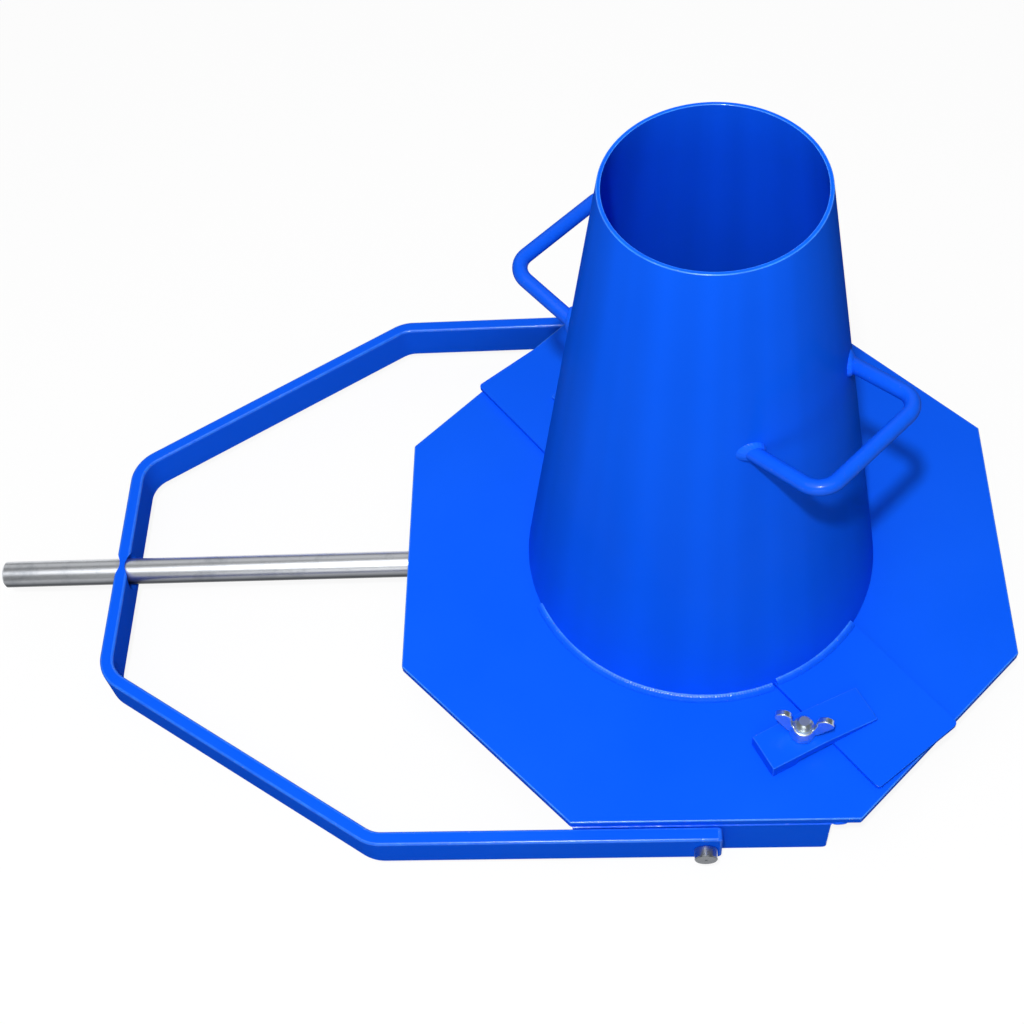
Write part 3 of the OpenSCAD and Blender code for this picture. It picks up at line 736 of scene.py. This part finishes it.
# Handles
# An 8 mm round bar bent twice, with both ends welded to the wall, so that the grip stands level
# and 43 mm out from the wall. One is at the front right and one is opposite.

HANDLE_R = 0.004
HANDLE_HALF = 0.036
HANDLE_OUT = 0.043
HANDLE_Z = 0.192
HANDLE_BEND = 0.011
HANDLE_ANGLE = math.radians(-45)
HANDLE_WEAR = 0.05
LEG_SPARE = 0.008
LEG_SUNK = 0.0009
NEAR_ROOT = 0.03
COLLAR = 0.0024
COLLAR_MIDDLE_R = 0.0053
COLLAR_RIPPLE = 0.00015
COLLAR_WEAR = 0.10
COLLAR_OUTLINE = [(HANDLE_R - 0.0006, 0.0026), (HANDLE_R + 0.0004, 0.0023),
                  (HANDLE_R + COLLAR * 0.45, 0.0015), (HANDLE_R + COLLAR * 0.8, 0.0006),
                  (HANDLE_R + COLLAR, -0.0006), (HANDLE_R - 0.0006, -0.0008),
                  (HANDLE_R - 0.0006, 0.0026)]

# The same enamel on the round bar of the grips, with painted shade: its blue is darkened. Hands
# keep the bar polished, so a heavier top coat gives a narrow gleam along the bar.
gripped, gripped_shader, blue = same_enamel("blue_gloss_enamel_polished_with_painted_shade")
# Painted shade: the grips' blue is darkened.
painted_shade_blue = add(gripped, "ShaderNodeHueSaturation", {"Value": 0.85}, {"Color": (blue, 2)})
wire(gripped, gripped_shader, None, {"Base Color": (painted_shade_blue, "Color")})
polished = gripped_shader.inputs["Coat Weight"].links[0].from_node
polished.inputs["To Min"].default_value = 0.03

root_r = MOULD_FOOT_R - SLOPE * (HANDLE_Z - MOULD_FOOT_Z)
root_x = math.sqrt(root_r ** 2 - HANDLE_HALF ** 2)
lean = math.atan(SLOPE)


def leg_root(seat, side):
    """Where the middle of a handle's leg meets the wall, and which way the wall faces there."""
    root = seat @ Vector((0, side * HANDLE_HALF, 0))
    outward = Vector((root.x, root.y, 0)).normalized()
    return root, Vector((outward.x, outward.y, SLOPE)).normalized()


for end, half_turn in (("front", 0), ("rear", math.pi)):
    seat = (Matrix.Rotation(HANDLE_ANGLE + half_turn, 4, "Z")
            @ Matrix.Translation((root_x, 0, HANDLE_Z)) @ Matrix.Rotation(-lean, 4, "Y"))
    bm = start()
    leg_end = Matrix.Translation((-LEG_SPARE, -HANDLE_HALF, 0))
    ring = bmesh.ops.create_circle(bm, segments=32, radius=HANDLE_R,
                                   matrix=leg_end @ Matrix.Rotation(math.pi / 2, 4, "Y"))["verts"]
    ring = list({e for v in ring for e in v.link_edges})
    bend_x, bend_y = HANDLE_OUT - HANDLE_BEND, HANDLE_HALF - HANDLE_BEND
    ring = drawn_out(bm, ring, (bend_x + LEG_SPARE, 0, 0))
    ring = curled(bm, ring, (bend_x, -bend_y, 0), math.pi / 2)
    ring = drawn_out(bm, ring, (0, 2 * bend_y, 0))
    ring = curled(bm, ring, (bend_x, bend_y, 0), math.pi / 2)
    drawn_out(bm, ring, (-(bend_x + LEG_SPARE), 0, 0))
    bmesh.ops.transform(bm, matrix=seat, verts=bm.verts)
    for side in (-1, 1):
        root, wall_normal = leg_root(seat, side)
        near = {g for v in bm.verts if (v.co - root).length < NEAR_ROOT
                for g in (v, *v.link_edges, *v.link_faces)}
        bmesh.ops.bisect_plane(bm, geom=list(near), plane_co=root - wall_normal * LEG_SUNK,
                               plane_no=wall_normal, clear_inner=True)
    bmesh.ops.holes_fill(bm, edges=[e for e in bm.edges if e.is_boundary], sides=64)
    wear_off(bm, HANDLE_WEAR)
    piece_of(end + "_carry_handle", bm, gripped, "blue_paint", "mould", "handle_" + end)

    # The collar of weld metal where each leg meets the wall
    bm = start()
    leg = (seat.to_3x3() @ Vector((1, 0, 0))).normalized()
    for side in (-1, 1):
        root, wall_normal = leg_root(seat, side)
        collar = start()
        turn(collar, [(h, r, 0) for r, h in COLLAR_OUTLINE], ORIGIN, (1, 0, 0), 120)
        bmesh.ops.recalc_face_normals(collar, faces=collar.faces)
        ripple(collar, lambda p: math.atan2(p.z, p.y) * COLLAR_MIDDLE_R, COLLAR_RIPPLE,
               11.0 + side)
        onto_leg = leg.to_track_quat("X", "Z").to_matrix().to_4x4()
        bmesh.ops.transform(collar, matrix=onto_leg, verts=collar.verts)
        for v in collar.verts:
            flat = v.co - leg * v.co.dot(leg)
            v.co -= leg * (wall_normal.dot(flat) / wall_normal.dot(leg))
        bmesh.ops.translate(collar, vec=root, verts=collar.verts)
        wear_off(collar, COLLAR_WEAR)
        made = bpy.data.meshes.new("collar")
        collar.to_mesh(made)
        collar.free()
        bm.from_mesh(made)
        bpy.data.meshes.remove(made)
    piece_of(end + "_handle_collars", bm, enamel, "blue_paint", "mould", "handle_welds_" + end)


# Clamp straps
# Short flat bars cut to a wedge, with a heel that stands on the plate and a thin tip that
# reaches over the foot plate. A wing nut pulls each one down, and it swings aside when slack.

STUD_X = 0.0495
STUD_Y = -0.129
STRAP_BEHIND_STUD = 0.025
STRAP_HEEL_END = 0.015
STRAP_STEP_END = 0.017
STRAP_SLOPE_START = 0.033
STRAP_LENGTH = 0.067
STRAP_HALF = 0.011
STRAP_FOOT = 0.0003
STRAP_UNDER = 0.0036
STRAP_TIP = 0.0056
STRAP_TOP = 0.0103
STRAP_EDGE = 0.0005
STRAP_WEAR = 0.4
STRAP_OUTLINE = [(0, STRAP_FOOT), (STRAP_HEEL_END, STRAP_FOOT), (STRAP_STEP_END, STRAP_UNDER),
                 (STRAP_LENGTH, STRAP_UNDER), (STRAP_LENGTH, STRAP_TIP),
                 (STRAP_SLOPE_START, STRAP_TOP), (0, STRAP_TOP)]
STRAP_ANGLE = math.radians(27.5)
STRAP_REAR_TURN = math.radians(14)


def over_stud(half_turn, z=0.0):
    """The place of the front clamp stud, or of the rear one after half a turn."""
    return Matrix.Rotation(half_turn, 4, "Z") @ Matrix.Translation((STUD_X, STUD_Y, z))


for end, half_turn, extra in (("front", 0, 0), ("rear", math.pi, STRAP_REAR_TURN)):
    bm = start()
    bm.faces.new([bm.verts.new((x - STRAP_BEHIND_STUD, -STRAP_HALF, z))
                  for x, z in STRAP_OUTLINE])
    thicken(bm, (0, 2 * STRAP_HALF, 0))
    bmesh.ops.recalc_face_normals(bm, faces=bm.faces)
    soften(bm, STRAP_EDGE, 3, None, STRAP_WEAR)
    swung = Matrix.Rotation(STRAP_ANGLE + extra, 4, "Z")
    bmesh.ops.transform(bm, matrix=over_stud(half_turn) @ swung, verts=bm.verts)
    piece_of(end + "_wedge_strap", bm, enamel, "blue_paint", "strap_" + end, "clamp_strap_" + end)


# Clamp studs
# M8 zinc-plated bolts put up through the plate from below. The thread has a 1.25 mm pitch and
# runs out in a chamfer at the top.

STUD_R = 0.004
STUD_TOP = 0.025
STUD_CHAMFER = 0.0011
THREAD_PITCH = 0.00125
THREAD_DEPTH = 0.0006
THREAD_START = -0.001
THREAD_STEPS = 48
THREAD_SECTION = [(0.0, STUD_R - THREAD_DEPTH), (0.42, STUD_R), (0.58, STUD_R)]
HEAD_FLATS = 0.013
HEAD_HEIGHT = 0.0053
HEAD_EDGE = 0.0004
HEAD_CORNER_R = HEAD_FLATS / 2 / math.cos(math.pi / 6)

# Bright zinc plate: a light, faintly blue metal, clean on the high spots and greyer where it
# has been handled, over the fine grain of a casting or a rolled thread.
zinc = new_material("bright_zinc_plate")
place = add(zinc, "ShaderNodeTexCoord")
handled = add(zinc, "ShaderNodeTexNoise", {"Scale": 210.0, "Detail": 4.0, "Roughness": 0.6},
              {"Vector": (place, "Object")})
grey = add(zinc, "ShaderNodeMix", {6: linear("#E4F0F4"), 7: linear("#CBD8DE")},
           {0: (handled, "Fac")}, data_type="RGBA")
dull = add(zinc, "ShaderNodeMapRange", {"To Min": 0.24, "To Max": 0.34},
           {"Value": (handled, "Fac")})
grain = add(zinc, "ShaderNodeTexNoise", {"Scale": 1500.0, "Detail": 2.0},
            {"Vector": (place, "Object")})
cast = add(zinc, "ShaderNodeBump", {"Strength": 0.3, "Distance": 0.000003},
           {"Height": (grain, "Fac")})
wire(zinc, zinc.node_tree.nodes["Principled BSDF"], {"Metallic": 1.0},
     {"Base Color": (grey, 2), "Roughness": (dull, 0), "Normal": (cast, "Normal")})

for end, half_turn in (("front", 0), ("rear", math.pi)):
    bm = start()
    verts = []
    z = THREAD_START
    while z < STUD_TOP + THREAD_PITCH:
        for part, r in THREAD_SECTION:
            verts.append(bm.verts.new((r, 0, z + part * THREAD_PITCH)))
        z += THREAD_PITCH
    edges = [bm.edges.new(pair) for pair in zip(verts, verts[1:])]
    bmesh.ops.spin(bm, geom=verts + edges, cent=ORIGIN, axis=UP, angle=2 * math.pi,
                   steps=THREAD_STEPS, dvec=(0, 0, THREAD_PITCH / THREAD_STEPS),
                   use_duplicate=False)
    bmesh.ops.remove_doubles(bm, verts=bm.verts, dist=2 * TOUCHING)
    for level, facing in ((STUD_TOP, 1), (0.0, -1)):
        bmesh.ops.bisect_plane(bm, geom=bm.verts[:] + bm.edges[:] + bm.faces[:],
                               plane_co=(0, 0, level), plane_no=(0, 0, facing), clear_outer=True)
    for v in bm.verts:
        limit = STUD_R - max(0.0, v.co.z - (STUD_TOP - STUD_CHAMFER))
        r = math.hypot(v.co.x, v.co.y)
        if r > limit:
            v.co.x *= limit / r
            v.co.y *= limit / r
    bmesh.ops.holes_fill(bm, edges=[e for e in bm.edges if e.is_boundary], sides=400)
    head = bmesh.ops.create_cone(bm, cap_ends=True, segments=6, radius1=HEAD_CORNER_R,
                                 radius2=HEAD_CORNER_R, depth=HEAD_HEIGHT,
                                 matrix=Matrix.Translation((0, 0, FRAME_TOP - HEAD_HEIGHT / 2)))
    soften(bm, HEAD_EDGE, 2, list({e for v in head["verts"] for e in v.link_edges}))
    bmesh.ops.transform(bm, matrix=over_stud(half_turn), verts=bm.verts)
    piece_of(end + "_threaded_stud", bm, zinc, "zinc_plate", "base", "clamp_stud_" + end)


# Wing nuts
# Die-cast zinc wing nuts: a tapered round hub and two thick upright ears with round ends, which
# flow into the hub without a corner.

NUT_R = 0.007
NUT_HEIGHT = 0.0085
NUT_Z = 0.0104
EAR_X = 0.0114
EAR_Z = 0.0162
EAR_R = 0.0045
EAR_HALF = 0.0017
EAR_TURN = math.radians(-40)
NUT_OUTLINE = [(0, 0), (NUT_R - 0.0004, 0), (NUT_R, 0.0005), (NUT_R, NUT_HEIGHT * 0.45),
               (NUT_R - 0.0012, NUT_HEIGHT), (0, NUT_HEIGHT)]
NECK_OUTLINE = [(0.0035, 0.0010), (0.0085, 0.0034), (EAR_X + 0.8 * EAR_R, EAR_Z - 0.6 * EAR_R),
                (EAR_X - 0.8 * EAR_R, EAR_Z + 0.6 * EAR_R), (0.0060, NUT_HEIGHT + 0.0005),
                (0.0035, NUT_HEIGHT - 0.0005)]
CASTING_GRID = 0.00025
CASTING_ROUNDS = 14

for end, half_turn in (("front", 0), ("rear", math.pi)):
    bm = start()
    turn(bm, [(r, 0, z) for r, z in NUT_OUTLINE], ORIGIN, UP, 48)
    for side in (-1, 1):
        ear = Matrix.Translation((side * EAR_X, 0, EAR_Z)) @ Matrix.Rotation(math.pi / 2, 4, "X")
        bmesh.ops.create_cone(bm, cap_ends=True, segments=40, radius1=EAR_R, radius2=EAR_R,
                              depth=2 * EAR_HALF, matrix=ear)
        neck = bm.faces.new([bm.verts.new((side * x, -EAR_HALF, z)) for x, z in NECK_OUTLINE])
        thicken(bm, (0, 2 * EAR_HALF, 0), [neck])
    bmesh.ops.recalc_face_normals(bm, faces=bm.faces)
    ears_turned = Matrix.Rotation(STRAP_ANGLE + EAR_TURN, 4, "Z")
    bmesh.ops.transform(bm, matrix=over_stud(half_turn, NUT_Z) @ ears_turned, verts=bm.verts)
    nut = piece_of(end + "_cast_wing_nut", bm, zinc, "zinc_plate", "nut_" + end, "wing_nut_" + end)
    nut.modifiers.clear()
    skin = nut.modifiers.new("one_casting", "REMESH")
    skin.mode = "VOXEL"
    skin.voxel_size = CASTING_GRID
    skin.use_smooth_shade = True
    flow = nut.modifiers.new("flowing_corners", "SMOOTH")
    flow.factor = 0.5
    flow.iterations = CASTING_ROUNDS


# Floor
# A wide pale sweep. The camera and the metal see it white, with the object's shadow on it, and
# the light that it sends back up is that of a grey floor.

FLOOR_HALF = 15.0
FLOOR_Z = FRAME_FOOT - 0.0001
WHITE_SHARE = 0.91

bm = bmesh.new()
bmesh.ops.create_grid(bm, x_segments=1, y_segments=1, size=FLOOR_HALF,
                      matrix=Matrix.Translation((0, 0, FLOOR_Z)))
floor_mesh = bpy.data.meshes.new("floor")
bm.to_mesh(floor_mesh)
bm.free()
floor = bpy.data.objects.new("floor", floor_mesh)
bpy.context.scene.collection.objects.link(floor)
paper = new_material("white_paper_sweep")
rays = add(paper, "ShaderNodeLightPath")
seen = add(paper, "ShaderNodeMath", None,
           {0: (rays, "Is Camera Ray"), 1: (rays, "Is Glossy Ray")}, operation="MAXIMUM")
shown = add(paper, "ShaderNodeMath", None,
            {0: (seen, 0), 1: (rays, "Is Transmission Ray")}, operation="MAXIMUM")
paper_colour = add(paper, "ShaderNodeMix", {6: linear("#8C8C8C"), 7: linear("#FFFFFF")},
                   {0: (shown, 0)}, data_type="RGBA")
lit = add(paper, "ShaderNodeBsdfDiffuse", None, {"Color": (paper_colour, 2)})
glow = add(paper, "ShaderNodeEmission", {"Color": (1, 1, 1, 1), "Strength": 1.0})
share = add(paper, "ShaderNodeMath", {1: WHITE_SHARE}, {0: (shown, 0)}, operation="MULTIPLY")
paper_shader = add(paper, "ShaderNodeMixShader", None, {0: (share, 0), 1: (lit, 0), 2: (glow, 0)})
wire(paper, paper.node_tree.nodes["Material Output"], None, {"Surface": (paper_shader, 0)})
floor_mesh.materials.append(paper)


# Light
# A dim even surround and four lamps: a small one above the camera, which gives the short shadows
# beside the handle and the glints on edges, a large soft box overhead, a weak fill in front, and
# a wide pale one behind, which the tops of the rod, pins and nuts reflect.

SURROUND_STRENGTH = 0.13

world = bpy.data.worlds.new("studio")
bpy.context.scene.world = world
world.use_nodes = True
world.node_tree.nodes["Background"].inputs["Color"].default_value = (1, 1, 1, 1)
world.node_tree.nodes["Background"].inputs["Strength"].default_value = SURROUND_STRENGTH


def area_lamp(name, shape, size, watts, place, target):
    """Hangs an area lamp at a place and aims it."""
    lamp = bpy.data.lights.new(name, "AREA")
    lamp.shape = shape
    lamp.size, lamp.size_y = size
    lamp.energy = watts
    hung = bpy.data.objects.new(name, lamp)
    bpy.context.scene.collection.objects.link(hung)
    hung.location = place
    hung.rotation_euler = (Vector(target) - Vector(place)).to_track_quat("-Z", "Y").to_euler()


area_lamp("lamp", "DISK", (0.055, 0.055), 12.4, (-0.137, -0.598, 1.31), (0.0, 0.0, 0.05))
area_lamp("soft_box", "RECTANGLE", (1.3, 1.5), 8.6, (-0.30, -0.55, 1.45), (-0.25, -0.50, 0.0))
area_lamp("fill", "RECTANGLE", (1.0, 0.5), 2.5, (-0.15, -1.30, 0.45), (0.0, 0.0, 0.10))
area_lamp("back_light", "RECTANGLE", (2.4, 1.2), 4.5, (-0.20, 1.25, 1.05), (-0.20, 0.0, 0.0))


# Camera
# At the height of a person looking down on the set from the front, a little left of the mould.

CAMERA_AT = Vector((-0.0420, -0.4966, 0.8103))
CAMERA_YAW, CAMERA_PITCH, CAMERA_ROLL = -0.1340, 0.9936, -0.1416
CAMERA_FOCUS_PX = 1581.4
IMAGE_PX = 1024
SENSOR_MM = 36.0

ahead = Vector((math.sin(CAMERA_YAW) * math.cos(CAMERA_PITCH),
                math.cos(CAMERA_YAW) * math.cos(CAMERA_PITCH), -math.sin(CAMERA_PITCH)))
level_right = Vector((math.cos(CAMERA_YAW), -math.sin(CAMERA_YAW), 0))
level_up = level_right.cross(ahead)
right = math.cos(CAMERA_ROLL) * level_right + math.sin(CAMERA_ROLL) * level_up
upward = -math.sin(CAMERA_ROLL) * level_right + math.cos(CAMERA_ROLL) * level_up
camera = bpy.data.cameras.new("camera")
camera.sensor_width = SENSOR_MM
camera.lens = CAMERA_FOCUS_PX * SENSOR_MM / IMAGE_PX
camera.clip_start = 0.01
camera.clip_end = 100.0
camera_object = bpy.data.objects.new("camera", camera)
bpy.context.scene.collection.objects.link(camera_object)
camera_object.matrix_world = Matrix((
    (right.x, upward.x, -ahead.x, CAMERA_AT.x),
    (right.y, upward.y, -ahead.y, CAMERA_AT.y),
    (right.z, upward.z, -ahead.z, CAMERA_AT.z),
    (0, 0, 0, 1)))
bpy.context.scene.camera = camera_object
bpy.context.scene.view_settings.view_transform = "Standard"
